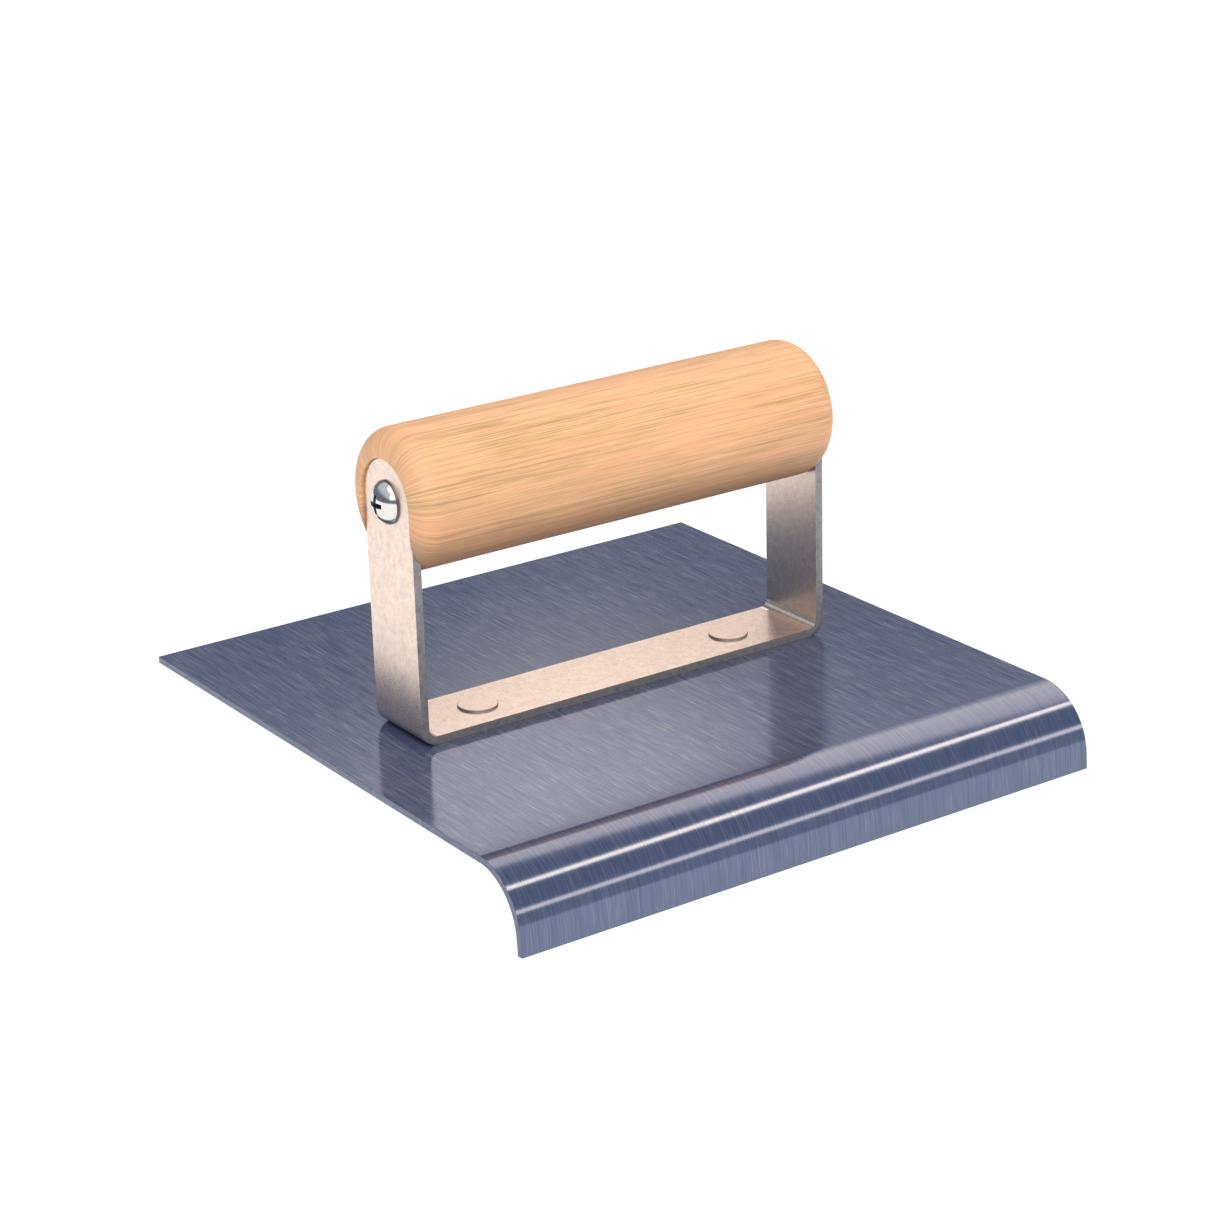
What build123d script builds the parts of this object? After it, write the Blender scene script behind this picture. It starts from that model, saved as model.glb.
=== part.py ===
"""A hand edger for concrete: a steel blade with a rolled lip, a riveted strap bracket and a wooden handle.

Frame: X runs along the lip and the handle, the lip is at -Y, and +Z is up. The origin is the middle of the
blade's outline, on the blade's flat underside. Lengths are in millimetres and angles in degrees.
"""

import os
from math import cos, radians, sin

from build123d import *

# Blade: one sheet, flat from its back edge to the roll, then rolled down to form the lip.
blade_length = 152.4
blade_gauge = 1.6
flat_run = 140.0
lip_inner_radius = 12.7
lip_sweep = 86.2
lip_tail = 4.0

# Bracket: one bent strap, a flat base with an arm at each end, a little off the blade's middle.
bracket_x = -0.8
bracket_y = 0.5
bracket_length = 111.15
strap_width = 19.05
strap_gauge = 2.0
strap_bend_radius = 2.0

# Handle: a round wooden bar whose end slots take the tops of the bracket's arms.
handle_rise = 54.2
handle_radius = 15.95
handle_length = 112.4
handle_end_radius = 5.0
slot_clearance = 0.15

# Screws: number 10 round-head wood screws, 1 1/4 inches long under the head, with a cross recess.
screw_length = 31.75
screw_shank_length = 8.0
screw_point_length = 4.0
thread_crest_radius = 2.4
thread_root_radius = 1.7
thread_turns = 10
screw_head_radius = 4.9
screw_head_rim = 0.5
screw_head_height = 3.2
screw_hole_radius = 2.6
pilot_hole_radius = 2.5
pilot_hole_depth = 31.0
recess_span = 4.8
recess_width = 1.2
recess_depth = 2.3
recess_taper = 12.0

# Rivets: thin flat heads on the bracket's base, with tails set flush in the blade's underside.
rivet_middle_x = -1.0
rivet_spacing = 69.85
rivet_head_radius = 4.6
rivet_head_height = 0.55
rivet_head_edge = 0.15
rivet_shank_radius = 2.38
rivet_tail_radius = 3.2
rivet_tail_depth = 0.8
rivet_clearance = 0.02

# Places that follow from the sizes.
lip_outer_radius = lip_inner_radius + blade_gauge
roll_reach = lip_outer_radius * sin(radians(lip_sweep)) + lip_tail * cos(radians(lip_sweep))
back_edge_y = (flat_run + roll_reach) / 2
roll_start_y = back_edge_y - flat_run
base_top_z = blade_gauge + strap_gauge
axis_z = blade_gauge + handle_rise
arm_top_z = axis_z + strap_width / 2
arm_x = bracket_length / 2
slot_half_width = strap_width / 2 + slot_clearance
slot_depth = (handle_length - bracket_length) / 2 + strap_gauge + slot_clearance
rivet_spots = [(rivet_middle_x + side * rivet_spacing / 2, bracket_y) for side in (-1, 1)]

os.makedirs("parts", exist_ok=True)


# Blade: the sheet's profile, drawn along its top face and thickened downwards, then the rivet holes.
with BuildPart() as blade:
    with BuildSketch(Plane.YZ.offset(-blade_length / 2)):
        with BuildLine():
            flat = Line((back_edge_y, blade_gauge), (roll_start_y, blade_gauge))
            roll = JernArc(flat @ 1, flat % 1, lip_outer_radius, lip_sweep)
            Line(roll @ 1, roll @ 1 + lip_tail * (roll % 1))
            offset(amount=blade_gauge, side=Side.LEFT)
        make_face()
    extrude(amount=blade_length)
    with Locations([(x, y, blade_gauge) for x, y in rivet_spots]):
        Hole(radius=rivet_shank_radius + rivet_clearance)
    underside = blade.faces().filter_by(Plane.XY).sort_by(Axis.Z)[0]
    hole_rims = underside.edges().filter_by(GeomType.CIRCLE)
    chamfer(hole_rims, length=rivet_tail_depth)

blade.part.label = "blade"
export_step(blade.part, "parts/blade.step")


# Bracket: a strap bent up at both ends, with rounded arm tops, two rivet holes and two screw holes.
with BuildPart() as bracket:
    with BuildSketch(Plane.XZ.offset(-bracket_y)):
        with BuildLine():
            FilletPolyline(
                (bracket_x - arm_x, arm_top_z),
                (bracket_x - arm_x, blade_gauge),
                (bracket_x + arm_x, blade_gauge),
                (bracket_x + arm_x, arm_top_z),
                radius=strap_bend_radius + strap_gauge,
            )
            offset(amount=strap_gauge, side=Side.LEFT)
        make_face()
    extrude(amount=strap_width / 2, both=True)
    with BuildSketch(Plane.YZ.offset(bracket_x - arm_x)):
        with Locations((bracket_y, axis_z)):
            Circle(strap_width / 2)
            Rectangle(strap_width, axis_z, align=(Align.CENTER, Align.MAX))
    extrude(amount=bracket_length, mode=Mode.INTERSECT)
    with Locations([(x, y, base_top_z) for x, y in rivet_spots]):
        Hole(radius=rivet_shank_radius + rivet_clearance, depth=strap_gauge)
    for side in (-1, 1):
        with Locations(Location((bracket_x + side * arm_x, bracket_y, axis_z), (0, side * 90, 0))):
            Hole(radius=screw_hole_radius, depth=strap_gauge)

bracket.part.label = "bracket"
export_step(bracket.part, "parts/bracket.step")


# Handle: a bar with rounded ends, a slot across each end for an arm, and a hole in each slot for a screw.
with BuildPart() as handle:
    with BuildSketch(Plane.YZ.offset(bracket_x - handle_length / 2)):
        with Locations((bracket_y, axis_z)):
            Circle(handle_radius)
    extrude(amount=handle_length)
    fillet(handle.edges().filter_by(GeomType.CIRCLE), radius=handle_end_radius)
    for side in (-1, 1):
        with BuildSketch(Plane.YZ.offset(bracket_x + side * handle_length / 2)):
            with Locations((bracket_y, axis_z)):
                Circle(slot_half_width)
                Rectangle(2 * slot_half_width, 2 * handle_radius, align=(Align.CENTER, Align.MAX))
        extrude(amount=-side * slot_depth, mode=Mode.SUBTRACT)
        slot_floor_x = bracket_x + side * (handle_length / 2 - slot_depth)
        with Locations(Location((slot_floor_x, bracket_y, axis_z), (0, side * 90, 0))):
            Hole(radius=pilot_hole_radius, depth=pilot_hole_depth)

handle.part.label = "handle"
export_step(handle.part, "parts/handle.step")


def wood_screw(side: int) -> Part:
    """A screw through the arm on the given side (-1 left, 1 right), pointing into the handle."""
    seat = Vector(bracket_x + side * arm_x, bracket_y, axis_z)
    outward = Vector(side, 0, 0)
    thread_length = screw_length - screw_shank_length - screw_point_length
    pitch = thread_length / thread_turns
    with BuildPart() as screw:
        # Half of the screw's outline: its local x is the radius, and its local y runs outwards.
        with BuildSketch(Plane(seat, x_dir=(0, 0, 1), z_dir=(0, side, 0))):
            with BuildLine():
                RadiusArc(
                    (0, screw_head_height),
                    (screw_head_radius, screw_head_rim),
                    dome_radius(),
                )
                thread = []
                for turn in range(thread_turns):
                    start = -screw_shank_length - turn * pitch
                    thread += [(thread_root_radius, start - 0.3 * pitch)]
                    thread += [(thread_root_radius, start - 0.7 * pitch)]
                    thread += [(thread_crest_radius, start - 0.95 * pitch)]
                    thread += [(thread_crest_radius, start - pitch)]
                Polyline(
                    (screw_head_radius, screw_head_rim),
                    (screw_head_radius, 0),
                    (thread_crest_radius, 0),
                    (thread_crest_radius, -screw_shank_length),
                    *thread,
                    (0, -screw_length),
                    (0, screw_head_height),
                )
            make_face()
        revolve(axis=Axis(seat, outward))
        with BuildSketch(Plane(seat + screw_head_height * outward, z_dir=outward)):
            Rectangle(recess_span, recess_width)
            Rectangle(recess_width, recess_span)
        extrude(amount=-recess_depth, taper=recess_taper, mode=Mode.SUBTRACT)
    return screw.part


def dome_radius() -> float:
    """The radius of the sphere that the screw's domed head is part of."""
    rise = screw_head_height - screw_head_rim
    return (screw_head_radius**2 + rise**2) / (2 * rise)


for name, side in (("screw_left", -1), ("screw_right", 1)):
    screw = wood_screw(side)
    screw.label = name
    export_step(screw, f"parts/{name}.step")


def flat_rivet(x: float, y: float) -> Part:
    """A rivet through the bracket's base and the blade, with its head on top."""
    with BuildPart() as rivet:
        with BuildSketch(Plane((x, y, 0), x_dir=(1, 0, 0), z_dir=(0, -1, 0))):
            with BuildLine():
                Polyline(
                    (0, 0),
                    (rivet_tail_radius - rivet_clearance, 0),
                    (rivet_shank_radius, rivet_tail_depth - rivet_clearance),
                    (rivet_shank_radius, base_top_z),
                    (rivet_head_radius, base_top_z),
                    (rivet_head_radius, base_top_z + rivet_head_height),
                    (0, base_top_z + rivet_head_height),
                    close=True,
                )
            make_face()
        revolve(axis=Axis((x, y, 0), (0, 0, 1)))
        head_rim = rivet.edges().filter_by(GeomType.CIRCLE).group_by(Axis.Z)[-1]
        fillet(head_rim, radius=rivet_head_edge)
    return rivet.part


for name, (x, y) in zip(("rivet_left", "rivet_right"), rivet_spots):
    rivet = flat_rivet(x, y)
    rivet.label = name
    export_step(rivet, f"parts/{name}.step")
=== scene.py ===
"""A concrete hand edger, dressed round its CAD frame.

The blade, bracket, handle, screws and rivets are modelled again with finer edges, each in the place of its
CAD node, and given their finishes. Lengths are in metres in the frame's own axes: X runs along the lip and
the handle, the lip is at -Y, +Z is up, and the origin is on the blade's flat underside.
"""

import logging
import math
from collections.abc import Callable, Iterator
from contextlib import contextmanager
from dataclasses import dataclass
from enum import Enum

import bmesh
import bpy
from mathutils import Matrix, Vector


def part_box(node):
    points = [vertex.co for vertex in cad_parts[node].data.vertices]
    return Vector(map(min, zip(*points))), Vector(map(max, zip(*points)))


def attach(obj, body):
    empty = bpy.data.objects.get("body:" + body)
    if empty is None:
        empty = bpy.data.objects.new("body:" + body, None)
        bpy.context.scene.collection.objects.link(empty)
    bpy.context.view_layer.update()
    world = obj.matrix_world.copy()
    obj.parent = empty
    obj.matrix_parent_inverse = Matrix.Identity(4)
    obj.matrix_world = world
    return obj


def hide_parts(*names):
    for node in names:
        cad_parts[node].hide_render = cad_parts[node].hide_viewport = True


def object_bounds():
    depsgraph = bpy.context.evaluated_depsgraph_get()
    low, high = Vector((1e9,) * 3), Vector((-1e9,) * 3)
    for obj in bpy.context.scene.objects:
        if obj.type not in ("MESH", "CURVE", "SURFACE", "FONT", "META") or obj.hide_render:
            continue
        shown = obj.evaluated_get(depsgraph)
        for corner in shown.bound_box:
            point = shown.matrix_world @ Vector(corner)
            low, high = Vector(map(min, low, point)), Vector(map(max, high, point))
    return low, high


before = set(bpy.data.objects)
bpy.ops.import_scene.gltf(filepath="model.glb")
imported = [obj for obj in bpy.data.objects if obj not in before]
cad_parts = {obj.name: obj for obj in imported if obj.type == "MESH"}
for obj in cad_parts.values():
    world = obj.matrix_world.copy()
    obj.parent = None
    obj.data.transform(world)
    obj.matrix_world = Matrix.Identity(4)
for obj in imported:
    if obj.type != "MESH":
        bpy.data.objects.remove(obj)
CAD_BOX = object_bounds()

MM = 0.001
NEAR = 0.01 * MM  # how close counts as the same place when parts of a mesh are picked
WELD = 0.005 * MM  # how close two vertices are when they are merged
CORNER_SHARE = 0.9999  # how much of a strip's half width each rounded corner takes, so that they don't meet
CORNER_STEPS = 24
HOLE_SIDES = 48
UP = Vector((0, 0, 1))
ROOT = "root"
BRUSHED = "brushed"
LOG = logging.getLogger("edger")


class Part(Enum):
    """What an edit-mode selection is made of."""

    VERTS = "VERT"
    EDGES = "EDGE"
    FACES = "FACE"


class Slot(Enum):
    """The record's material slots."""

    BLADE = "blued_steel"
    STRAP = "strap_steel"
    RIVET = "rivet_steel"
    HANDLE = "handle_wood"
    SCREW = "screw_plating"


class Piece:
    """One mesh, shaped with the modelling operators and finished with applied modifiers."""

    def __init__(self, name: str) -> None:
        """Takes the primitive that was just added, names it and moves its place into its mesh.

        Args:
            name: the piece's name.
        """
        self.obj = bpy.context.active_object
        self.obj.name = name
        self.obj.data.name = name
        bpy.ops.object.transform_apply(location=True, rotation=True, scale=True)

    @contextmanager
    def editing(self) -> Iterator[None]:
        """Holds the piece in edit mode, with everything deselected at the start."""
        self.activate()
        bpy.ops.object.mode_set(mode="EDIT")
        bpy.ops.mesh.select_all(action="DESELECT")
        yield
        bpy.ops.object.mode_set(mode="OBJECT")

    def activate(self) -> None:
        """Makes this piece the only selected object, and the active one."""
        bpy.ops.object.select_all(action="DESELECT")
        self.obj.select_set(True)
        bpy.context.view_layer.objects.active = self.obj

    def pick(self, part: Part, inside: Callable[[Vector], bool]) -> None:
        """Selects the parts whose every corner passes a test of place, and nothing else.

        Args:
            part: whether vertices, edges or faces are picked.
            inside: the test, given a corner's place.
        """
        bpy.ops.mesh.select_mode(type=part.value)
        mesh = bmesh.from_edit_mesh(self.obj.data)
        for item in (*mesh.faces, *mesh.edges, *mesh.verts):
            item.select = False
        items = {Part.VERTS: mesh.verts, Part.EDGES: mesh.edges, Part.FACES: mesh.faces}[part]
        for item in items:
            corners = [item] if part is Part.VERTS else item.verts
            if all(inside(corner.co) for corner in corners):
                item.select_set(True)
        mesh.select_flush_mode()
        bmesh.update_edit_mesh(self.obj.data)

    def extrude(self, step: Vector, grow: float = 1.0, about: Vector | None = None) -> None:
        """Extrudes the selection, then scales its new end across the step's own axis.

        Args:
            step: how far the new end moves.
            grow: how much wider the new end is than the old one.
            about: the point that the new end is scaled about.
        """
        bpy.ops.mesh.extrude_region_move(TRANSFORM_OT_translate={"value": step})
        if about is not None:
            bpy.ops.transform.resize(value=(grow, grow, grow), center_override=about)

    def modify(self, kind: str, **settings: object) -> None:
        """Adds one modifier and applies it.

        Args:
            kind: the modifier's type.
            **settings: its properties.
        """
        self.activate()
        modifier = self.obj.modifiers.new(kind, kind)
        for name, value in settings.items():
            setattr(modifier, name, value)
        bpy.ops.object.modifier_apply(modifier=modifier.name)

    def round_top(self, high: float, radius: float) -> None:
        """Rounds the top corners of flat upright strips into half circles; used in edit mode.

        Args:
            high: the height of the strips' tops.
            radius: half of their width.
        """
        self.pick(Part.VERTS, lambda p: p.z > high - NEAR)
        bpy.ops.mesh.bevel(offset=radius * CORNER_SHARE, segments=CORNER_STEPS, affect="VERTICES")
        bpy.ops.mesh.select_all(action="SELECT")
        bpy.ops.mesh.remove_doubles(threshold=WELD)

    def thicken(self, gauge: float) -> None:
        """Gives a sheet its thickness, with its cut edges in the second finish."""
        for _ in range(2):
            self.obj.data.materials.append(None)
        self.modify("SOLIDIFY", thickness=gauge, offset=-1, use_even_offset=True, material_offset_rim=1)

    def cut(self, cutter: "Piece") -> None:
        """Cuts another piece's shape out of this one and throws the cutter away."""
        self.modify("BOOLEAN", object=cutter.obj, operation="DIFFERENCE", solver="EXACT")
        bpy.data.objects.remove(cutter.obj)

    def soften(self, width: float, angle: float = math.radians(40), segments: int = 2) -> None:
        """Breaks the sharp edges and sets the shading to suit.

        Args:
            width: how far each edge is broken.
            angle: edges sharper than this are broken.
            segments: how many strips round each edge.
        """
        self.modify("BEVEL", width=width, segments=segments, limit_method="ANGLE", angle_limit=angle,
                    use_clamp_overlap=True)
        self.activate()
        bpy.ops.object.shade_smooth_by_angle(angle=angle)
        self.modify("WEIGHTED_NORMAL", keep_sharp=True, weight=80)

    def coat(self, *finishes: bpy.types.Material) -> None:
        """Puts the finishes on, the first all over the piece and a second on its marked faces."""
        slots = self.obj.data.materials
        for index, finish in enumerate(finishes):
            if index < len(slots):
                slots[index] = finish
            else:
                slots.append(finish)

    def copied(self, name: str, move: Matrix) -> "Piece":
        """Makes another of this piece, with a mesh of its own.

        Args:
            name: the new piece's name.
            move: how it is turned and moved from this one's place.

        Returns:
            The new piece.
        """
        self.activate()
        bpy.ops.object.duplicate(linked=False)
        bpy.context.active_object.matrix_world = move
        return Piece(name)

    def stand_for(self, node: str, slot: Slot) -> None:
        """Rides the piece on the frame's body, in the place of its CAD node.

        Args:
            node: the CAD node that it replaces.
            slot: the record's material slot, which is only named in the log line.
        """
        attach(self.obj, ROOT)
        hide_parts(node)
        LOG.info("%s: %d faces, finish %s", self.obj.name, len(self.obj.data.polygons), slot.value)


def clear_selection() -> None:
    """Deselects every object, so that an operator acts on the new primitive alone."""
    bpy.ops.object.select_all(action="DESELECT")


def new_plate(name: str, centre: Vector, size: tuple[float, float], turn: Matrix | None = None) -> Piece:
    """Adds a flat rectangle.

    Args:
        name: the piece's name.
        centre: its middle.
        size: its length along its own x and y.
        turn: how it is turned from lying flat.

    Returns:
        The piece.
    """
    clear_selection()
    euler = (turn or Matrix.Identity(3)).to_euler()
    bpy.ops.mesh.primitive_plane_add(size=1, location=centre, rotation=euler)
    bpy.context.active_object.scale = (size[0], size[1], 1)
    return Piece(name)


def new_bar(name: str, start: Vector, axis: Vector, length: float, radius: float, sides: int) -> Piece:
    """Adds a round bar.

    Args:
        name: the piece's name.
        start: the middle of its first end.
        axis: the unit vector from its first end to its second.
        length: its length.
        radius: its radius.
        sides: how many faces go round it.

    Returns:
        The piece.
    """
    clear_selection()
    turn = axis.to_track_quat("Z", "Y").to_euler()
    bpy.ops.mesh.primitive_cylinder_add(
        vertices=sides, radius=radius, depth=length, location=start + axis * length / 2, rotation=turn
    )
    return Piece(name)


def tongue(name: str, x: float, y: float, low: float, axis_z: float, half_width: float) -> Piece:
    """Makes a flat upright strip across X whose top is a half circle round the handle's axis.

    Args:
        name: the piece's name.
        x: the strip's plane.
        y: its middle.
        low: the height of its straight lower end.
        axis_z: the height of the half circle's centre.
        half_width: the half circle's radius.

    Returns:
        The piece, one face thick.
    """
    high = axis_z + half_width
    turn = Matrix(((0, 0, 1), (1, 0, 0), (0, 1, 0)))
    strip = new_plate(name, Vector((x, y, (low + high) / 2)), (2 * half_width, high - low), turn)
    with strip.editing():
        strip.round_top(high, half_width)
    return strip


class Graph:
    """A material's or the world's node tree, built up one node at a time."""

    def __init__(self, owner: bpy.types.Material | bpy.types.World) -> None:
        """Empties the owner's node tree.

        Args:
            owner: the material or world.
        """
        owner.use_nodes = True
        self.tree = owner.node_tree
        self.tree.nodes.clear()

    def node(self, kind: str, inputs: dict[str | int, object] | None = None,
             **settings: object) -> bpy.types.Node:
        """Adds a node.

        Args:
            kind: the node's type, without its ShaderNode prefix.
            inputs: its inputs, each a value or another node's output.
            **settings: its properties.

        Returns:
            The node.
        """
        node = self.tree.nodes.new("ShaderNode" + kind)
        for name, value in settings.items():
            setattr(node, name, value)
        for name, value in (inputs or {}).items():
            if isinstance(value, bpy.types.NodeSocket):
                self.tree.links.new(value, node.inputs[name])
            else:
                node.inputs[name].default_value = value
        return node

    def place(self, scale: tuple[float, float, float], centre: Vector | None = None) -> bpy.types.NodeSocket:
        """Gives the piece's own coordinates, centred and stretched.

        Args:
            scale: how many units of the pattern each metre holds along X, Y and Z.
            centre: the place that becomes zero.

        Returns:
            The coordinates.
        """
        coords = self.node("TexCoord").outputs["Object"]
        if centre is not None:
            coords = self.node("VectorMath", {0: coords, 1: centre}, operation="SUBTRACT").outputs[0]
        return self.node("VectorMath", {0: coords, 1: scale}, operation="MULTIPLY").outputs[0]

    def scale(self, where: bpy.types.NodeSocket, scale: tuple[float, float, float]) -> bpy.types.NodeSocket:
        """Stretches coordinates by a factor along each axis."""
        return self.node("VectorMath", {0: where, 1: scale}, operation="MULTIPLY").outputs[0]

    def noise(self, where: bpy.types.NodeSocket, detail: float = 2.0, rough: float = 0.5,
              warp: float = 0.0) -> bpy.types.NodeSocket:
        """Adds a noise pattern of unit scale and gives its value, about 0.5 on average."""
        inputs = {"Vector": where, "Scale": 1.0, "Detail": detail, "Roughness": rough, "Distortion": warp}
        return self.node("TexNoise", inputs, noise_dimensions="3D").outputs["Fac"]

    def span(self, value: bpy.types.NodeSocket, low: float, high: float, to_low: float = 0.0,
             to_high: float = 1.0) -> bpy.types.NodeSocket:
        """Stretches a value from one range to another and clamps it there."""
        inputs = {"Value": value, "From Min": low, "From Max": high, "To Min": to_low, "To Max": to_high}
        return self.node("MapRange", inputs, clamp=True).outputs["Result"]

    def ramp(self, value: bpy.types.NodeSocket, low: float, high: float) -> bpy.types.NodeSocket:
        """Turns a value smoothly from 0 to 1 between two marks."""
        inputs = {"Value": value, "From Min": low, "From Max": high}
        return self.node("MapRange", inputs, interpolation_type="SMOOTHSTEP").outputs["Result"]

    def dot(self, first: bpy.types.NodeSocket, second: tuple[float, float, float]) -> bpy.types.NodeSocket:
        """Takes the dot product of a direction and a fixed vector."""
        return self.node("VectorMath", {0: first, 1: second}, operation="DOT_PRODUCT").outputs["Value"]

    def math(self, operation: str, first: object, second: object = 0.0) -> bpy.types.NodeSocket:
        """Adds one step of arithmetic."""
        return self.node("Math", {0: first, 1: second}, operation=operation).outputs[0]

    def mix(self, share: object, first: object, second: object, blend: str = "MIX") -> bpy.types.NodeSocket:
        """Mixes two colours."""
        node = self.node("Mix", {"Factor": share}, data_type="RGBA", blend_type=blend)
        for index, value in ((6, first), (7, second)):
            if isinstance(value, bpy.types.NodeSocket):
                self.tree.links.new(value, node.inputs[index])
            else:
                node.inputs[index].default_value = (*value, 1.0)
        return node.outputs[2]

    def bump(self, height: bpy.types.NodeSocket, depth: float, strength: float = 1.0) -> bpy.types.NodeSocket:
        """Turns a height pattern into a surface normal."""
        inputs = {"Height": height, "Distance": depth, "Strength": strength}
        return self.node("Bump", inputs).outputs["Normal"]

    def surface(self, inputs: dict[str | int, object]) -> None:
        """Ends the tree with a principled surface."""
        shader = self.node("BsdfPrincipled", inputs)
        self.node("OutputMaterial", {"Surface": shader.outputs["BSDF"]})


Colour = tuple[float, float, float]


@dataclass(frozen=True)
class BluedSteel:
    """Sheet with a thin blue oxide film, brushed from the back edge over the lip."""

    deep: Colour = (0.03, 0.06, 0.15)
    bright: Colour = (0.135, 0.155, 0.26)
    worn: Colour = (0.45, 0.42, 0.37)
    metal: float = 0.4
    film_index: float = 2.05
    roughness: float = 0.13
    stretch: float = 0.5
    streak_width: float = 0.32 * MM
    streak_length: float = 14.0 * MM
    fine_share: float = 0.8
    contrast: float = 0.13
    scratch_marks: tuple[float, float] = (0.58, 0.76)
    scratch_strength: float = 0.5
    fade: tuple[float, float] = (-2 * MM, 4 * MM)
    lip_contrast: float = 0.45
    relief: float = 0.005 * MM

    def material(self) -> bpy.types.Material:
        """Builds the finish."""
        made = bpy.data.materials.new("blued_steel")
        graph = Graph(made)
        brushed = graph.node("UVMap", uv_map=BRUSHED).outputs["UV"]
        fine = self.streaks(graph, brushed, 1, 1, 2.5, 0.6)
        broad = self.streaks(graph, brushed, 0.3, 0.3, 2.0, 0.5)
        scratch = self.streaks(graph, brushed, 1.3, 1.6, 1.0, 0.5)
        scratch = graph.span(scratch, *self.scratch_marks, 0.0, self.scratch_strength)
        tone = graph.math("MULTIPLY", fine, self.fine_share)
        tone = graph.math("ADD", tone, graph.math("MULTIPLY", broad, 1 - self.fine_share))
        keep = graph.span(graph.dot(brushed, (0, 1, 0)), *self.fade, 1.0, self.lip_contrast)
        tone = graph.math("MULTIPLY", graph.math("SUBTRACT", tone, 0.5), keep)
        film = graph.mix(graph.span(tone, -self.contrast, self.contrast), self.deep, self.bright)
        graph.surface({
            "Base Color": graph.mix(graph.math("MULTIPLY", scratch, keep), film, self.worn),
            "Metallic": self.metal,
            "IOR": self.film_index,
            "Roughness": graph.span(fine, 0.25, 0.75, self.roughness - 0.03, self.roughness + 0.04),
            "Anisotropic": self.stretch,
            "Tangent": graph.node("Tangent", direction_type="UV_MAP", uv_map=BRUSHED).outputs[0],
            "Normal": graph.bump(fine, self.relief, 0.6),
        })
        return made

    def streaks(self, graph: Graph, brushed: bpy.types.NodeSocket, across: float, along: float,
                detail: float, rough: float) -> bpy.types.NodeSocket:
        """Adds one size of brushing streak.

        Args:
            graph: the tree that it goes in.
            brushed: the place on the sheet, across and along the brushing.
            across: how many times as close together as the main streaks these are.
            along: how many times as short as the main streaks these are.
            detail: how many finer sizes the pattern holds.
            rough: how strong each finer size is.

        Returns:
            The pattern's value.
        """
        spread = (across / self.streak_width, along / self.streak_length, 1)
        return graph.noise(graph.scale(brushed, spread), detail, rough)


@dataclass(frozen=True)
class PlainSteel:
    """Plain mill-finish steel: a fine grain under soft mottling."""

    name: str
    base: Colour = (0.93, 0.76, 0.66)
    stain: Colour = (0.66, 0.55, 0.49)
    metal: float = 1.0
    roughness: float = 0.29
    grain: float = 0.16 * MM
    mottle: float = 1.5 * MM
    relief: float = 0.004 * MM
    speck_share: float = 0.45
    marks: tuple[float, float] = (0.33, 0.58)

    def material(self) -> bpy.types.Material:
        """Builds the finish."""
        made = bpy.data.materials.new(self.name)
        graph = Graph(made)
        speck = graph.noise(graph.place((1 / self.grain,) * 3), 2.0, 0.6)
        cloud = graph.noise(graph.place((1 / self.mottle,) * 3), 4.0, 0.65, 0.3)
        tone = graph.math("MULTIPLY", speck, self.speck_share)
        tone = graph.math("ADD", tone, graph.math("MULTIPLY", cloud, 1 - self.speck_share))
        graph.surface({
            "Base Color": graph.mix(graph.span(tone, *self.marks), self.stain, self.base),
            "Metallic": self.metal,
            "Roughness": graph.span(speck, 0.3, 0.7, self.roughness - 0.05, self.roughness + 0.07),
            "Normal": graph.bump(speck, self.relief, 0.5),
        })
        return made


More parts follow.
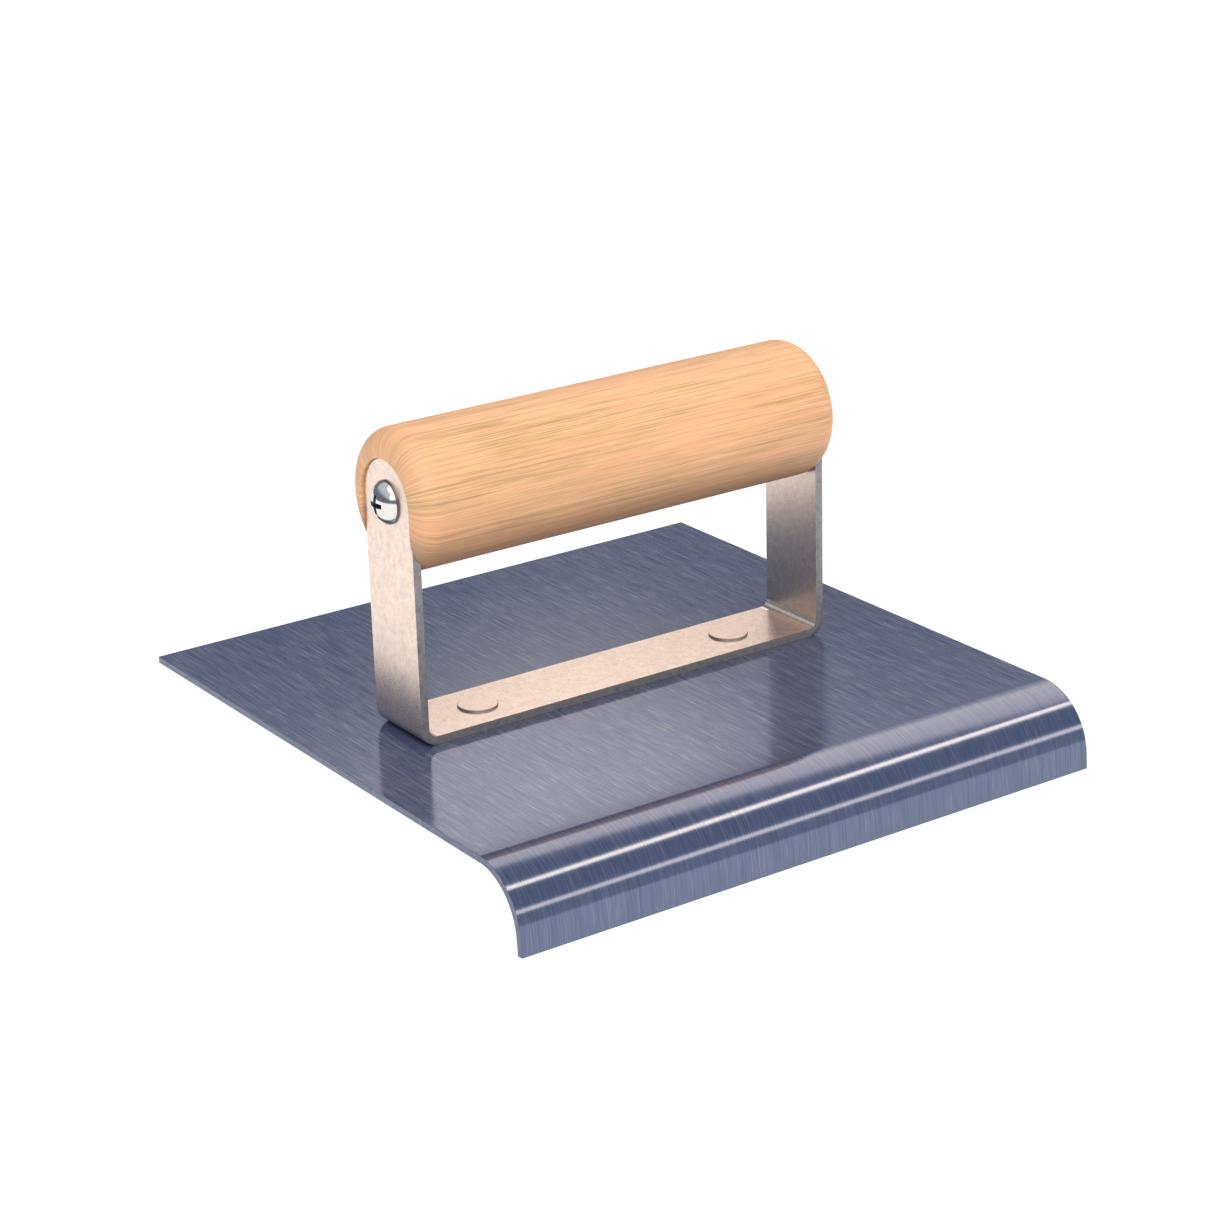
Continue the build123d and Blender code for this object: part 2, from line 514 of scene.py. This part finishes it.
@dataclass(frozen=True)
class SealedWood:
    """Smooth light hardwood, its grain running along the bar and round its ends, with painted shade darkening
    the bar's underside.
    """

    centre: Vector
    radius: float
    light: Colour = (0.93, 0.555, 0.285)
    tan: Colour = (0.5, 0.275, 0.135)
    rosy: Colour = (0.85, 0.4, 0.22)
    # Painted shade: the dark colour laid on the bar's underside.
    underside_shade_colour: Colour = (0.28, 0.155, 0.095)
    roughness: float = 0.5
    fibre: tuple[float, float] = (0.17 * MM, 15 * MM)
    stripe: tuple[float, float] = (0.6 * MM, 50 * MM)
    band: tuple[float, float] = (4.5 * MM, 45 * MM)
    shares: tuple[float, float, float] = (0.5, 0.3, 0.2)
    marks: tuple[float, float] = (0.39, 0.58)
    rosy_marks: tuple[float, float] = (0.42, 0.66)
    rosy_strength: float = 0.45
    underside_shade_marks: tuple[float, float] = (0.25, 0.95)
    underside_shade_strength: float = 0.85
    relief: float = 0.02 * MM

    def material(self) -> bpy.types.Material:
        """Builds the finish."""
        made = bpy.data.materials.new("sealed_wood")
        graph = Graph(made)
        place = graph.place((1, 1, 1), self.centre)
        across = graph.scale(place, (0, 1, 1))
        around = graph.node("VectorMath", {0: across}, operation="NORMALIZE").outputs[0]
        along = graph.scale(place, (1, 0, 0))
        grains = [self.grain(graph, along, around, *size) for size in (self.fibre, self.stripe, self.band)]
        parts = [graph.math("MULTIPLY", grain, share) for grain, share in zip(grains, self.shares)]
        tone = graph.math("ADD", graph.math("ADD", parts[0], parts[1]), parts[2])
        colour = graph.mix(graph.span(tone, *self.marks), self.tan, self.light)
        rosy = graph.span(grains[2], *self.rosy_marks, 0.0, self.rosy_strength)
        colour = graph.mix(rosy, colour, self.rosy)
        # Painted shade: the colour darkens towards the bar's underside, standing in for the light that falls
        # less there.
        underside_shade = graph.span(graph.dot(around, (0, 0, -1)), *self.underside_shade_marks, 0.0, self.underside_shade_strength)
        colour = graph.mix(underside_shade, colour, self.underside_shade_colour)
        graph.surface({
            "Base Color": colour,
            "Roughness": self.roughness,
            "Normal": graph.bump(grains[0], self.relief, 0.4),
        })
        return made

    def grain(self, graph: Graph, along: bpy.types.NodeSocket, around: bpy.types.NodeSocket, width: float,
              length: float) -> bpy.types.NodeSocket:
        """Adds one size of grain.

        Args:
            graph: the tree that it goes in.
            along: the place along the bar's axis.
            around: the direction out from the bar's axis.
            width: how wide its streaks are round the bar.
            length: how long its streaks are.

        Returns:
            The pattern's value.
        """
        turned = graph.scale(around, (self.radius / width,) * 3)
        drawn = graph.scale(along, (1 / length,) * 3)
        where = graph.node("VectorMath", {0: turned, 1: drawn}, operation="ADD").outputs[0]
        return graph.noise(where, 3.0, 0.6)


@dataclass(frozen=True)
class BrightPlate:
    """Bright nickel plate; given a dark base, it also serves as painted shade."""

    name: str = "bright_plate"
    base: Colour = (0.78, 0.77, 0.73)
    roughness: float = 0.12
    haze: float = 0.6 * MM
    relief: float = 0.003 * MM

    def material(self) -> bpy.types.Material:
        """Builds the finish."""
        made = bpy.data.materials.new(self.name)
        graph = Graph(made)
        haze = graph.noise(graph.place((1 / self.haze,) * 3), 2.0)
        graph.surface({
            "Base Color": self.base + (1.0,),
            "Metallic": 1.0,
            "Roughness": graph.span(haze, 0.3, 0.7, self.roughness - 0.03, self.roughness + 0.04),
            "Normal": graph.bump(haze, self.relief, 0.2),
        })
        return made


@dataclass
class Rivet:
    """A flat-head rivet, its tail set flush into the blade's underside."""

    node: str
    head_height: float = 0.55 * MM
    head_edge: float = 0.14 * MM
    shank_radius: float = 2.38 * MM
    tail_radius: float = 3.18 * MM
    tail_depth: float = 0.78 * MM
    shadow_side_tilt: float = 0.6

    def __post_init__(self) -> None:
        """Reads the rivet's place and head radius from its CAD node."""
        low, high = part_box(self.node)
        self.head_radius = (high.x - low.x) / 2
        self.foot = Vector(((low.x + high.x) / 2, (low.y + high.y) / 2, low.z))
        self.seat_z = high.z - self.head_height

    def build(self) -> Piece:
        """Turns the head, then draws the shank and the flared tail out of its underside.

        Returns:
            The rivet, with its sides marked for a second, dark finish that paints a contact shadow round the
            head.
        """
        seat = Vector((self.foot.x, self.foot.y, self.seat_z))
        rivet = new_bar(f"{self.node}_set", seat, UP, self.head_height, self.head_radius, 64)
        neck_z = self.foot.z + self.tail_depth
        with rivet.editing():
            rivet.pick(Part.FACES, lambda p: p.z < self.seat_z + NEAR)
            bpy.ops.mesh.inset(thickness=self.head_radius - self.shank_radius, depth=0)
            rivet.extrude(Vector((0, 0, neck_z - self.seat_z)))
            rivet.extrude(Vector((0, 0, -self.tail_depth)), self.tail_radius / self.shank_radius, self.foot)
            rivet.pick(Part.EDGES, lambda p: p.z > self.seat_z + self.head_height - NEAR)
            bpy.ops.mesh.bevel(offset=self.head_edge, segments=4, affect="EDGES")
        rivet.activate()
        bpy.ops.object.shade_smooth_by_angle(angle=math.radians(35))
        rivet.modify("WEIGHTED_NORMAL", keep_sharp=True)
        # Painted shade: the head's side faces take the dark finish, as a contact shadow round the head.
        for face in rivet.obj.data.polygons:
            face.material_index = int(face.normal.z < self.shadow_side_tilt)
        return rivet

    def another(self, made: Piece, first: "Rivet") -> Piece:
        """Copies a finished rivet into this one's place."""
        return made.copied(f"{self.node}_set", Matrix.Translation(self.foot - first.foot))

    def dress(self, rivet: Piece, head: bpy.types.Material, side: bpy.types.Material) -> None:
        """Coats the head, paints a contact shadow on its side with the dark second finish, and stands the
        piece for its CAD node.
        """
        rivet.coat(head, side)
        rivet.stand_for(self.node, Slot.RIVET)


@dataclass
class Blade:
    """The sheet-steel blade: a flat with its front edge rolled down into a lip."""

    lip_radius: float = 12.7 * MM
    lip_sweep: float = math.radians(86.2)
    lip_tail: float = 4.0 * MM
    hole_play: float = 0.02 * MM
    edge_break: float = 0.12 * MM

    def __post_init__(self) -> None:
        """Reads the sheet's place and gauge from its CAD node."""
        self.low, self.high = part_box("blade")
        self.gauge = self.high.z
        self.outer_radius = self.lip_radius + self.gauge
        self.back_y = self.high.y
        reach = self.outer_radius * math.sin(self.lip_sweep) + self.lip_tail * math.cos(self.lip_sweep)
        self.roll_y = self.low.y + reach

    def build(self, rivets: list[Rivet]) -> Piece:
        """Rolls the sheet and drills it for the rivets.

        Args:
            rivets: the rivets that hold the bracket on.

        Returns:
            The finished blade.
        """
        length = self.high.x - self.low.x
        middle = Vector((0, (self.back_y + self.roll_y) / 2, self.gauge))
        blade = new_plate("blade_sheet", middle, (length, self.back_y - self.roll_y))
        roll_axis = Vector((0, self.roll_y, self.gauge - self.outer_radius))
        with blade.editing():
            blade.pick(Part.EDGES, lambda p: p.y < self.roll_y + NEAR)
            bpy.ops.mesh.spin(steps=48, angle=-self.lip_sweep, center=roll_axis, axis=(1, 0, 0))
            tail = Vector((0, -math.cos(self.lip_sweep), -math.sin(self.lip_sweep)))
            blade.extrude(tail * self.lip_tail)
            bpy.ops.mesh.select_all(action="SELECT")
            bpy.ops.mesh.remove_doubles(threshold=WELD)
        blade.thicken(self.gauge)
        for rivet in rivets:
            blade.cut(self.countersink(rivet))
        blade.soften(self.edge_break)
        self.lay_brushing(blade)
        return blade

    def lay_brushing(self, blade: Piece) -> None:
        """Lays a map on the sheet whose first axis runs along X and whose second runs back over the lip."""
        roll_z = self.gauge - self.outer_radius
        tail = Vector((0, -math.cos(self.lip_sweep), -math.sin(self.lip_sweep)))
        mesh = blade.obj.data
        brushed = mesh.uv_layers.new(name=BRUSHED)
        for loop in mesh.loops:
            place = mesh.vertices[loop.vertex_index].co
            reach = Vector((0, place.y - self.roll_y, place.z - roll_z))
            turned = math.atan2(-reach.y, reach.z)
            if place.y > self.roll_y:
                along = self.roll_y - place.y
            elif turned < self.lip_sweep:
                along = turned * self.outer_radius
            else:
                along = self.lip_sweep * self.outer_radius + reach.dot(tail)
            brushed.data[loop.index].uv = (place.x, along)

    def dress(self, blade: Piece) -> None:
        """Blues the sheet, darkens its cut edges, and stands it for its CAD node."""
        edge = PlainSteel("dark_edge", (0.2, 0.22, 0.29), (0.1, 0.12, 0.18), metal=0.7, roughness=0.4)
        blade.coat(BluedSteel().material(), edge.material())
        blade.stand_for("blade", Slot.BLADE)

    def countersink(self, rivet: Rivet) -> Piece:
        """Makes the shape of a rivet's hole, a little wider than its shank and tail."""
        below = Vector((0, 0, self.gauge))
        tail_radius = rivet.tail_radius + self.hole_play
        hole_radius = rivet.shank_radius + self.hole_play
        cutter = new_bar("countersink", rivet.foot - below, UP, self.gauge, tail_radius, HOLE_SIDES)
        with cutter.editing():
            cutter.pick(Part.FACES, lambda p: p.z > rivet.foot.z - NEAR)
            neck = Vector((0, 0, rivet.tail_depth))
            cutter.extrude(neck, hole_radius / tail_radius, rivet.foot + neck)
            cutter.extrude(below * 2)
        return cutter


@dataclass
class Screw:
    """A round-head wood screw with a cross recess, driven through an arm into the handle's end."""

    node: str
    side: int
    head_radius: float = 4.9 * MM
    head_height: float = 3.2 * MM
    rim_height: float = 0.5 * MM
    shank_length: float = 8.0 * MM
    point_length: float = 4.0 * MM
    length: float = 31.75 * MM
    crest_radius: float = 2.4 * MM
    root_radius: float = 1.7 * MM
    turns: int = 10
    recess_span: float = 4.8 * MM
    recess_width: float = 1.2 * MM
    recess_depth: float = 2.3 * MM
    recess_taper: float = math.radians(12)
    recess_proud: float = 1.0 * MM
    recess_skin: float = 0.05 * MM
    shade_rim_tilt: float = 0.7
    root_shares: tuple[float, float] = (0.3, 0.4)
    crest_shares: tuple[float, float] = (0.25, 0.05)
    tip_share: float = 0.04
    edge_break: float = 0.07 * MM
    dome_sides: int = 96
    dome_rings: int = 128

    def __post_init__(self) -> None:
        """Finds the seat, where the head meets the arm, from the CAD node's box."""
        low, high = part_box(self.node)
        self.outward = Vector((self.side, 0, 0))
        tip_x = high.x if self.side < 0 else low.x
        self.seat = Vector((tip_x, (low.y + high.y) / 2, (low.z + high.z) / 2)) + self.outward * self.length

    def build(self) -> Piece:
        """Domes the head, draws out the shank, thread and point, and cuts the recess.

        Returns:
            The screw, with its recess and the upright side of its rim marked for a second, dark finish that
            paints shade into them.
        """
        rise = self.head_height - self.rim_height
        dome = (self.head_radius**2 + rise**2) / (2 * rise)
        centre = self.seat + self.outward * (self.head_height - dome)
        clear_selection()
        turn = self.outward.to_track_quat("Z", "Y").to_euler()
        bpy.ops.mesh.primitive_uv_sphere_add(
            segments=self.dome_sides, ring_count=self.dome_rings, radius=dome, location=centre, rotation=turn
        )
        screw = Piece(f"{self.node}_driven")
        rim = self.seat + self.outward * self.rim_height
        with screw.editing():
            bpy.ops.mesh.select_all(action="SELECT")
            bpy.ops.mesh.bisect(plane_co=rim, plane_no=self.outward, clear_inner=True)
            bpy.ops.mesh.select_mode(type="EDGE")
            bpy.ops.mesh.select_all(action="DESELECT")
            bpy.ops.mesh.select_non_manifold()
            screw.extrude(-self.outward * self.rim_height)
            screw.extrude(Vector(), self.crest_radius / self.head_radius, self.seat)
            screw.extrude(-self.outward * self.shank_length)
            self.draw_thread(screw)
        for turn_angle in (0, math.pi / 2):
            screw.cut(self.recess_blade(turn_angle))
        screw.soften(self.edge_break, math.radians(32))
        # Painted shade: faces inside the recess and the upright side of the rim take the dark second finish.
        for face in screw.obj.data.polygons:
            outward = (face.center - self.seat).dot(self.outward)
            sunk = (face.center - centre).length < dome - self.recess_skin
            rim = abs(face.normal.dot(self.outward)) < self.shade_rim_tilt and 0 < outward < self.rim_height
            face.material_index = int(rim or (outward > self.rim_height and sunk))
        return screw

    def another(self, made: Piece, first: "Screw") -> Piece:
        """Copies a finished screw into this one's place, turned to face the other way."""
        turn = Matrix.Rotation(math.pi, 4, "Z")
        move = Matrix.Translation(self.seat) @ turn @ Matrix.Translation(-first.seat)
        return made.copied(f"{self.node}_driven", move)

    def dress(self, screw: Piece, plate: bpy.types.Material, shaded: bpy.types.Material) -> None:
        """Plates the screw, paints shade into its recess and round its rim with a dark plate, and stands it
        for its CAD node.
        """
        screw.coat(plate, shaded)
        screw.stand_for(self.node, Slot.SCREW)

    def draw_thread(self, screw: Piece) -> None:
        """Draws the rings of the thread and the point out of the end of the shank, which is selected."""
        pitch = (self.length - self.shank_length - self.point_length) / self.turns
        at = self.seat - self.outward * self.shank_length
        radius = self.crest_radius
        profile = [(share, self.root_radius) for share in self.root_shares]
        profile += [(share, self.crest_radius) for share in self.crest_shares]
        for _ in range(self.turns):
            for share, target in profile:
                at = at - self.outward * pitch * share
                screw.extrude(-self.outward * pitch * share, target / radius, at)
                radius = target
        tip = at - self.outward * self.point_length
        screw.extrude(-self.outward * self.point_length, self.tip_share, tip)
        bpy.ops.mesh.edge_face_add()

    def recess_blade(self, angle: float) -> Piece:
        """Makes one of the two crossed, tapering bars that the recess is cut with.

        Args:
            angle: how far the bar is turned about the screw's axis.

        Returns:
            The cutter.
        """
        top = self.seat + self.outward * (self.head_height + self.recess_proud)
        turn = Matrix.Rotation(angle, 3, self.outward) @ self.outward.to_track_quat("Z", "Y").to_matrix()
        cutter = new_plate("recess", top, (self.recess_span, self.recess_width), turn)
        shrink = self.recess_depth * math.tan(self.recess_taper)
        across = turn @ Vector((0, 1, 0))
        along = turn @ Vector((1, 0, 0))
        with cutter.editing():
            bpy.ops.mesh.select_all(action="SELECT")
            cutter.extrude(-self.outward * self.recess_proud)
            cutter.extrude(-self.outward * self.recess_depth)
            mesh = bmesh.from_edit_mesh(cutter.obj.data)
            floor = top - self.outward * (self.recess_proud + self.recess_depth)
            for corner in mesh.verts:
                if (corner.co - floor).dot(self.outward) < NEAR:
                    offset = corner.co - floor
                    corner.co -= across * math.copysign(shrink, offset.dot(across))
                    corner.co -= along * math.copysign(shrink * 2, offset.dot(along))
            bmesh.update_edit_mesh(cutter.obj.data)
            bpy.ops.mesh.select_all(action="SELECT")
            bpy.ops.mesh.normals_make_consistent(inside=False)
        return cutter


@dataclass
class Bracket:
    """The bent strap that carries the handle."""

    gauge: float = 2.0 * MM
    bend_radius: float = 2.0 * MM
    screw_hole_radius: float = 2.6 * MM
    hole_play: float = 0.02 * MM
    edge_break: float = 0.16 * MM
    bend_steps: int = 20

    def __post_init__(self) -> None:
        """Reads the strap's outer faces from its CAD node."""
        self.low, self.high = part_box("bracket")
        self.width = self.high.y - self.low.y
        self.middle_y = (self.low.y + self.high.y) / 2
        self.axis_z = self.high.z - self.width / 2

    def build(self, rivets: list[Rivet], screws: list[Screw]) -> Piece:
        """Bends the strap, rounds its ends and drills it.

        Args:
            rivets: the rivets through its base.
            screws: the screws through its arms.

        Returns:
            The finished bracket.
        """
        outer = self.bend_radius + self.gauge
        length = self.high.x - self.low.x - 2 * outer
        middle = Vector(((self.low.x + self.high.x) / 2, self.middle_y, self.low.z))
        strap = new_plate("bracket_strap", middle, (length, self.width))
        with strap.editing():
            for side, face_x in ((-1, self.low.x), (1, self.high.x)):
                bend = Vector((face_x - side * outer, self.middle_y, self.low.z + outer))
                strap.pick(Part.EDGES, lambda p, side=side, bend=bend: side * (p.x - bend.x) > -NEAR)
                quarter = side * math.pi / 2
                bpy.ops.mesh.spin(steps=self.bend_steps, angle=quarter, center=bend, axis=(0, 1, 0))
                strap.extrude(Vector((0, 0, self.axis_z - bend.z)))
                strap.extrude(Vector((0, 0, self.width / 2)))
            bpy.ops.mesh.select_all(action="SELECT")
            bpy.ops.mesh.remove_doubles(threshold=WELD)
            strap.round_top(self.high.z, self.width / 2)
            bpy.ops.mesh.normals_make_consistent(inside=False)
        strap.thicken(self.gauge)
        for rivet in rivets:
            foot = Vector((rivet.foot.x, rivet.foot.y, self.low.z - self.gauge))
            radius = rivet.shank_radius + self.hole_play
            strap.cut(new_bar("rivet_hole", foot, UP, 3 * self.gauge, radius, HOLE_SIDES))
        for screw in screws:
            start = screw.seat + screw.outward * self.gauge
            radius = self.screw_hole_radius
            strap.cut(new_bar("screw_hole", start, -screw.outward, 4 * self.gauge, radius, HOLE_SIDES))
        strap.soften(self.edge_break)
        return strap

    def dress(self, strap: Piece, edge: bpy.types.Material) -> None:
        """Gives the strap its mill finish and its sheared edges, and stands it for its CAD node."""
        strap.coat(PlainSteel("strap_steel").material(), edge)
        strap.stand_for("bracket", Slot.STRAP)


@dataclass
class Handle:
    """The round wooden handle, slotted across its ends for the bracket's arms."""

    end_radius: float = 5.0 * MM
    slot_play: float = 0.15 * MM
    pilot_radius: float = 2.5 * MM
    pilot_depth: float = 31.0 * MM
    pilot_proud: float = 0.5 * MM
    pilot_sides: int = 32
    slot_edge_break: float = 0.1 * MM
    sides: int = 160

    def __post_init__(self) -> None:
        """Reads the bar's place from its CAD node."""
        self.low, self.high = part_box("handle")
        self.radius = (self.high.z - self.low.z) / 2
        self.centre = (self.low + self.high) / 2

    def build(self, bracket: Bracket) -> Piece:
        """Turns the bar, rounds its ends, and cuts a slot and a pilot hole into each.

        Args:
            bracket: the strap whose arms lie in the slots.

        Returns:
            The finished handle.
        """
        length = self.high.x - self.low.x
        start = Vector((self.low.x, self.centre.y, self.centre.z))
        bar = new_bar("handle_grip", start, Vector((1, 0, 0)), length, self.radius, self.sides)
        with bar.editing():
            for end_x in (self.low.x, self.high.x):
                bar.pick(Part.EDGES, lambda p, end_x=end_x: abs(p.x - end_x) < NEAR)
                bpy.ops.mesh.bevel(offset=self.end_radius, segments=14, affect="EDGES")
        slot_depth = (length - (bracket.high.x - bracket.low.x)) / 2 + bracket.gauge + self.slot_play
        for side, end_x in ((-1, self.low.x), (1, self.high.x)):
            floor_x = end_x - side * slot_depth
            bar.cut(self.slot_cutter(bracket, floor_x, side))
            mouth = Vector((floor_x + side * self.pilot_proud, self.centre.y, self.centre.z))
            inward = Vector((-side, 0, 0))
            depth = self.pilot_depth + self.pilot_proud
            bar.cut(new_bar("pilot", mouth, inward, depth, self.pilot_radius, self.pilot_sides))
        bar.soften(self.slot_edge_break, math.radians(50))
        return bar

    def dress(self, bar: Piece) -> None:
        """Seals the wood, its grain along the bar, and stands it for its CAD node."""
        bar.coat(SealedWood(self.centre, self.radius).material())
        bar.stand_for("handle", Slot.HANDLE)

    def slot_cutter(self, bracket: Bracket, floor_x: float, side: int) -> Piece:
        """Makes the shape of one end's slot, open at the bottom and at the end.

        Args:
            bracket: the strap whose arm lies in the slot.
            floor_x: where the slot's floor is.
            side: -1 for the left end, 1 for the right.

        Returns:
            The cutter.
        """
        half_width = bracket.width / 2 + self.slot_play
        low = self.low.z - self.radius
        cutter = tongue("slot", floor_x, bracket.middle_y, low, bracket.axis_z, half_width)
        with cutter.editing():
            bpy.ops.mesh.select_all(action="SELECT")
            cutter.extrude(Vector((side * 2 * self.end_radius, 0, 0)))
            bpy.ops.mesh.select_all(action="SELECT")
            bpy.ops.mesh.normals_make_consistent(inside=False)
        return cutter


@dataclass(frozen=True)
class Glow:
    """A soft round light in the studio's surroundings; heading 0 is +Y and 90 is +X, in degrees."""

    heading: float
    elevation: float
    inner: float
    outer: float
    colour: Colour

    def share(self, graph: Graph, towards: bpy.types.NodeSocket) -> bpy.types.NodeSocket:
        """Gives how much of the light a direction meets.

        Args:
            graph: the surroundings' node tree.
            towards: the direction.

        Returns:
            The share, from 0 to 1.
        """
        heading, rise = math.radians(self.heading), math.radians(self.elevation)
        centre = (math.sin(heading) * math.cos(rise), math.cos(heading) * math.cos(rise), math.sin(rise))
        inner, outer = (math.cos(math.radians(angle)) for angle in (self.inner, self.outer))
        return graph.ramp(graph.dot(towards, centre), outer, inner)


@dataclass(frozen=True)
class Softbox:
    """An upright rectangular light, sized as it would be at a distance of one metre."""

    heading: float
    left: float
    right: float
    bottom: float
    top: float
    edge: float
    colour: Colour

    def share(self, graph: Graph, towards: bpy.types.NodeSocket) -> bpy.types.NodeSocket:
        """Gives how much of the light a direction meets.

        Args:
            graph: the surroundings' node tree.
            towards: the direction.

        Returns:
            The share, from 0 to 1.
        """
        heading = math.radians(self.heading)
        ahead = graph.dot(towards, (math.sin(heading), math.cos(heading), 0))
        across = graph.math("DIVIDE", graph.dot(towards, (math.cos(heading), -math.sin(heading), 0)), ahead)
        height = graph.math("DIVIDE", graph.dot(towards, (0, 0, 1)), ahead)
        share = graph.math("GREATER_THAN", ahead, 0.01)
        for value, low, high in ((across, self.left, self.right), (height, self.bottom, self.top)):
            share = graph.math("MULTIPLY", share, graph.ramp(value, low - self.edge, low + self.edge))
            share = graph.math("MULTIPLY", share, graph.ramp(value, high + self.edge, high - self.edge))
        return share


@dataclass
class Studio:
    """The floor, the lights and the camera."""

    floor_size: float = 40.0
    floor_tone: Colour = (0.08, 0.08, 0.08)
    floor_glow: float = 1.03
    fill: Colour = (0.14, 0.17, 0.23)
    lights: tuple[Glow | Softbox, ...] = (
        Glow(235, 70, 14, 34, (2.7, 2.6, 2.5)),
        Glow(33.4, 25.9, 3.4, 5.3, (1.46, 1.3, 1.14)),
        Glow(33.4, 31, 3, 5.5, (3.4, 3.1, 2.8)),
        Softbox(33.5, -0.3, 0.3, 0.42, 0.56, 0.045, (0.7, 0.63, 0.56)),
        Softbox(43, -0.1, 0.2, 0.52, 0.66, 0.04, (1.1, 1.0, 0.9)),
        Softbox(62.7, -0.54, 0.8, 0.65, 1.52, 0.06, (2.3, 1.95, 1.55)),
        Softbox(205, -0.8, 0.8, 0.4, 1.2, 0.2, (2.5, 2.42, 2.35)),
        Softbox(300, -1.5, 1.0, 0.5, 4.0, 0.2, (0.48, 0.46, 0.42)),
        Softbox(145.4, -0.88, -0.2, 1.29, 1.53, 0.08, (9.6, 7.9, 5.8)),
        Softbox(149, -0.42, 0.5, 0.32, 0.42, 0.03, (4.6, 3.95, 3.2)),
        Softbox(147, -1.0, 0.9, -0.1, 0.25, 0.08, (0.25, 0.22, 0.2)),
    )
    camera_place: Vector = Vector((-0.37649, -0.55178, 0.26962))
    camera_heading: float = math.radians(-34.265)
    camera_pitch: float = math.radians(69.404)
    camera_roll: float = math.radians(-1.688)
    lens: float = 93.03

    def build(self, rest_z: float) -> None:
        """Lays the floor, lights it and sets the camera.

        Args:
            rest_z: the height of the object's lowest point.
        """
        floor = new_plate("floor", Vector((0, 0, rest_z)), (self.floor_size, self.floor_size))
        paint = bpy.data.materials.new("floor_paint")
        Graph(paint).surface({
            "Base Color": self.floor_tone + (1.0,),
            "Roughness": 0.9,
            "Emission Color": (1.0, 1.0, 1.0, 1.0),
            "Emission Strength": self.floor_glow,
        })
        floor.obj.data.materials.append(paint)
        self.light()
        camera = bpy.data.cameras.new("camera")
        camera.lens = self.lens
        camera.clip_start, camera.clip_end = 0.01, 100
        stand = bpy.data.objects.new("camera", camera)
        turn = (Matrix.Rotation(self.camera_heading, 4, "Z") @ Matrix.Rotation(self.camera_pitch, 4, "X")
                @ Matrix.Rotation(self.camera_roll, 4, "Z"))
        stand.matrix_world = Matrix.Translation(self.camera_place) @ turn
        bpy.context.scene.collection.objects.link(stand)
        bpy.context.scene.camera = stand
        bpy.context.scene.view_settings.view_transform = "Standard"

    def light(self) -> None:
        """Makes the surroundings: a dim fill with the lights in it."""
        world = bpy.data.worlds.new("studio")
        bpy.context.scene.world = world
        graph = Graph(world)
        towards = graph.node("TexCoord").outputs["Generated"]
        brightest = graph.node("CombineXYZ").outputs[0]
        for light in self.lights:
            share = light.share(graph, towards)
            lit = graph.node("VectorMath", {0: light.colour, "Scale": share}, operation="SCALE").outputs[0]
            brightest = graph.node("VectorMath", {0: brightest, 1: lit}, operation="MAXIMUM").outputs[0]
        total = graph.node("VectorMath", {0: brightest, 1: self.fill}, operation="ADD").outputs[0]
        background = graph.node("Background", {"Color": total, "Strength": 1.0})
        graph.node("OutputWorld", {"Surface": background.outputs[0]})


def main() -> None:
    """Builds and dresses each piece, then sets up the studio."""
    logging.basicConfig(level=logging.INFO, format="%(name)s: %(message)s")
    rivets = [Rivet("rivet_left"), Rivet("rivet_right")]
    screws = [Screw("screw_left", -1), Screw("screw_right", 1)]
    blade, bracket, handle = Blade(), Bracket(), Handle()

    blade.dress(blade.build(rivets))
    # A dark finish for the bracket's sheared edges, also used as a painted contact shadow on the rivets'
    # sides.
    sheared = PlainSteel("sheared_edge_and_shadow", (0.36, 0.345, 0.34), (0.18, 0.18, 0.19), metal=0.75, roughness=0.42)
    edge = sheared.material()
    bracket.dress(bracket.build(rivets, screws), edge)
    handle.dress(handle.build(bracket))

    first = rivets[0].build()
    head = PlainSteel("rivet_steel", (0.9, 0.73, 0.63), (0.74, 0.6, 0.53)).material()
    for rivet in rivets:
        # The rivets' sides take the dark edge finish as a painted contact shadow.
        rivet.dress(first if rivet is rivets[0] else rivet.another(first, rivets[0]), head, edge)

    first = screws[0].build()
    plate = BrightPlate().material()
    # A dark plate that paints shade into the screws' recesses and round the sides of their rims.
    shaded = BrightPlate("recess_and_rim_shade", (0.2, 0.2, 0.19), 0.35).material()
    for screw in screws:
        screw.dress(first if screw is screws[0] else screw.another(first, screws[0]), plate, shaded)

    Studio().build(CAD_BOX[0].z)


if __name__ == "__main__":
    main()
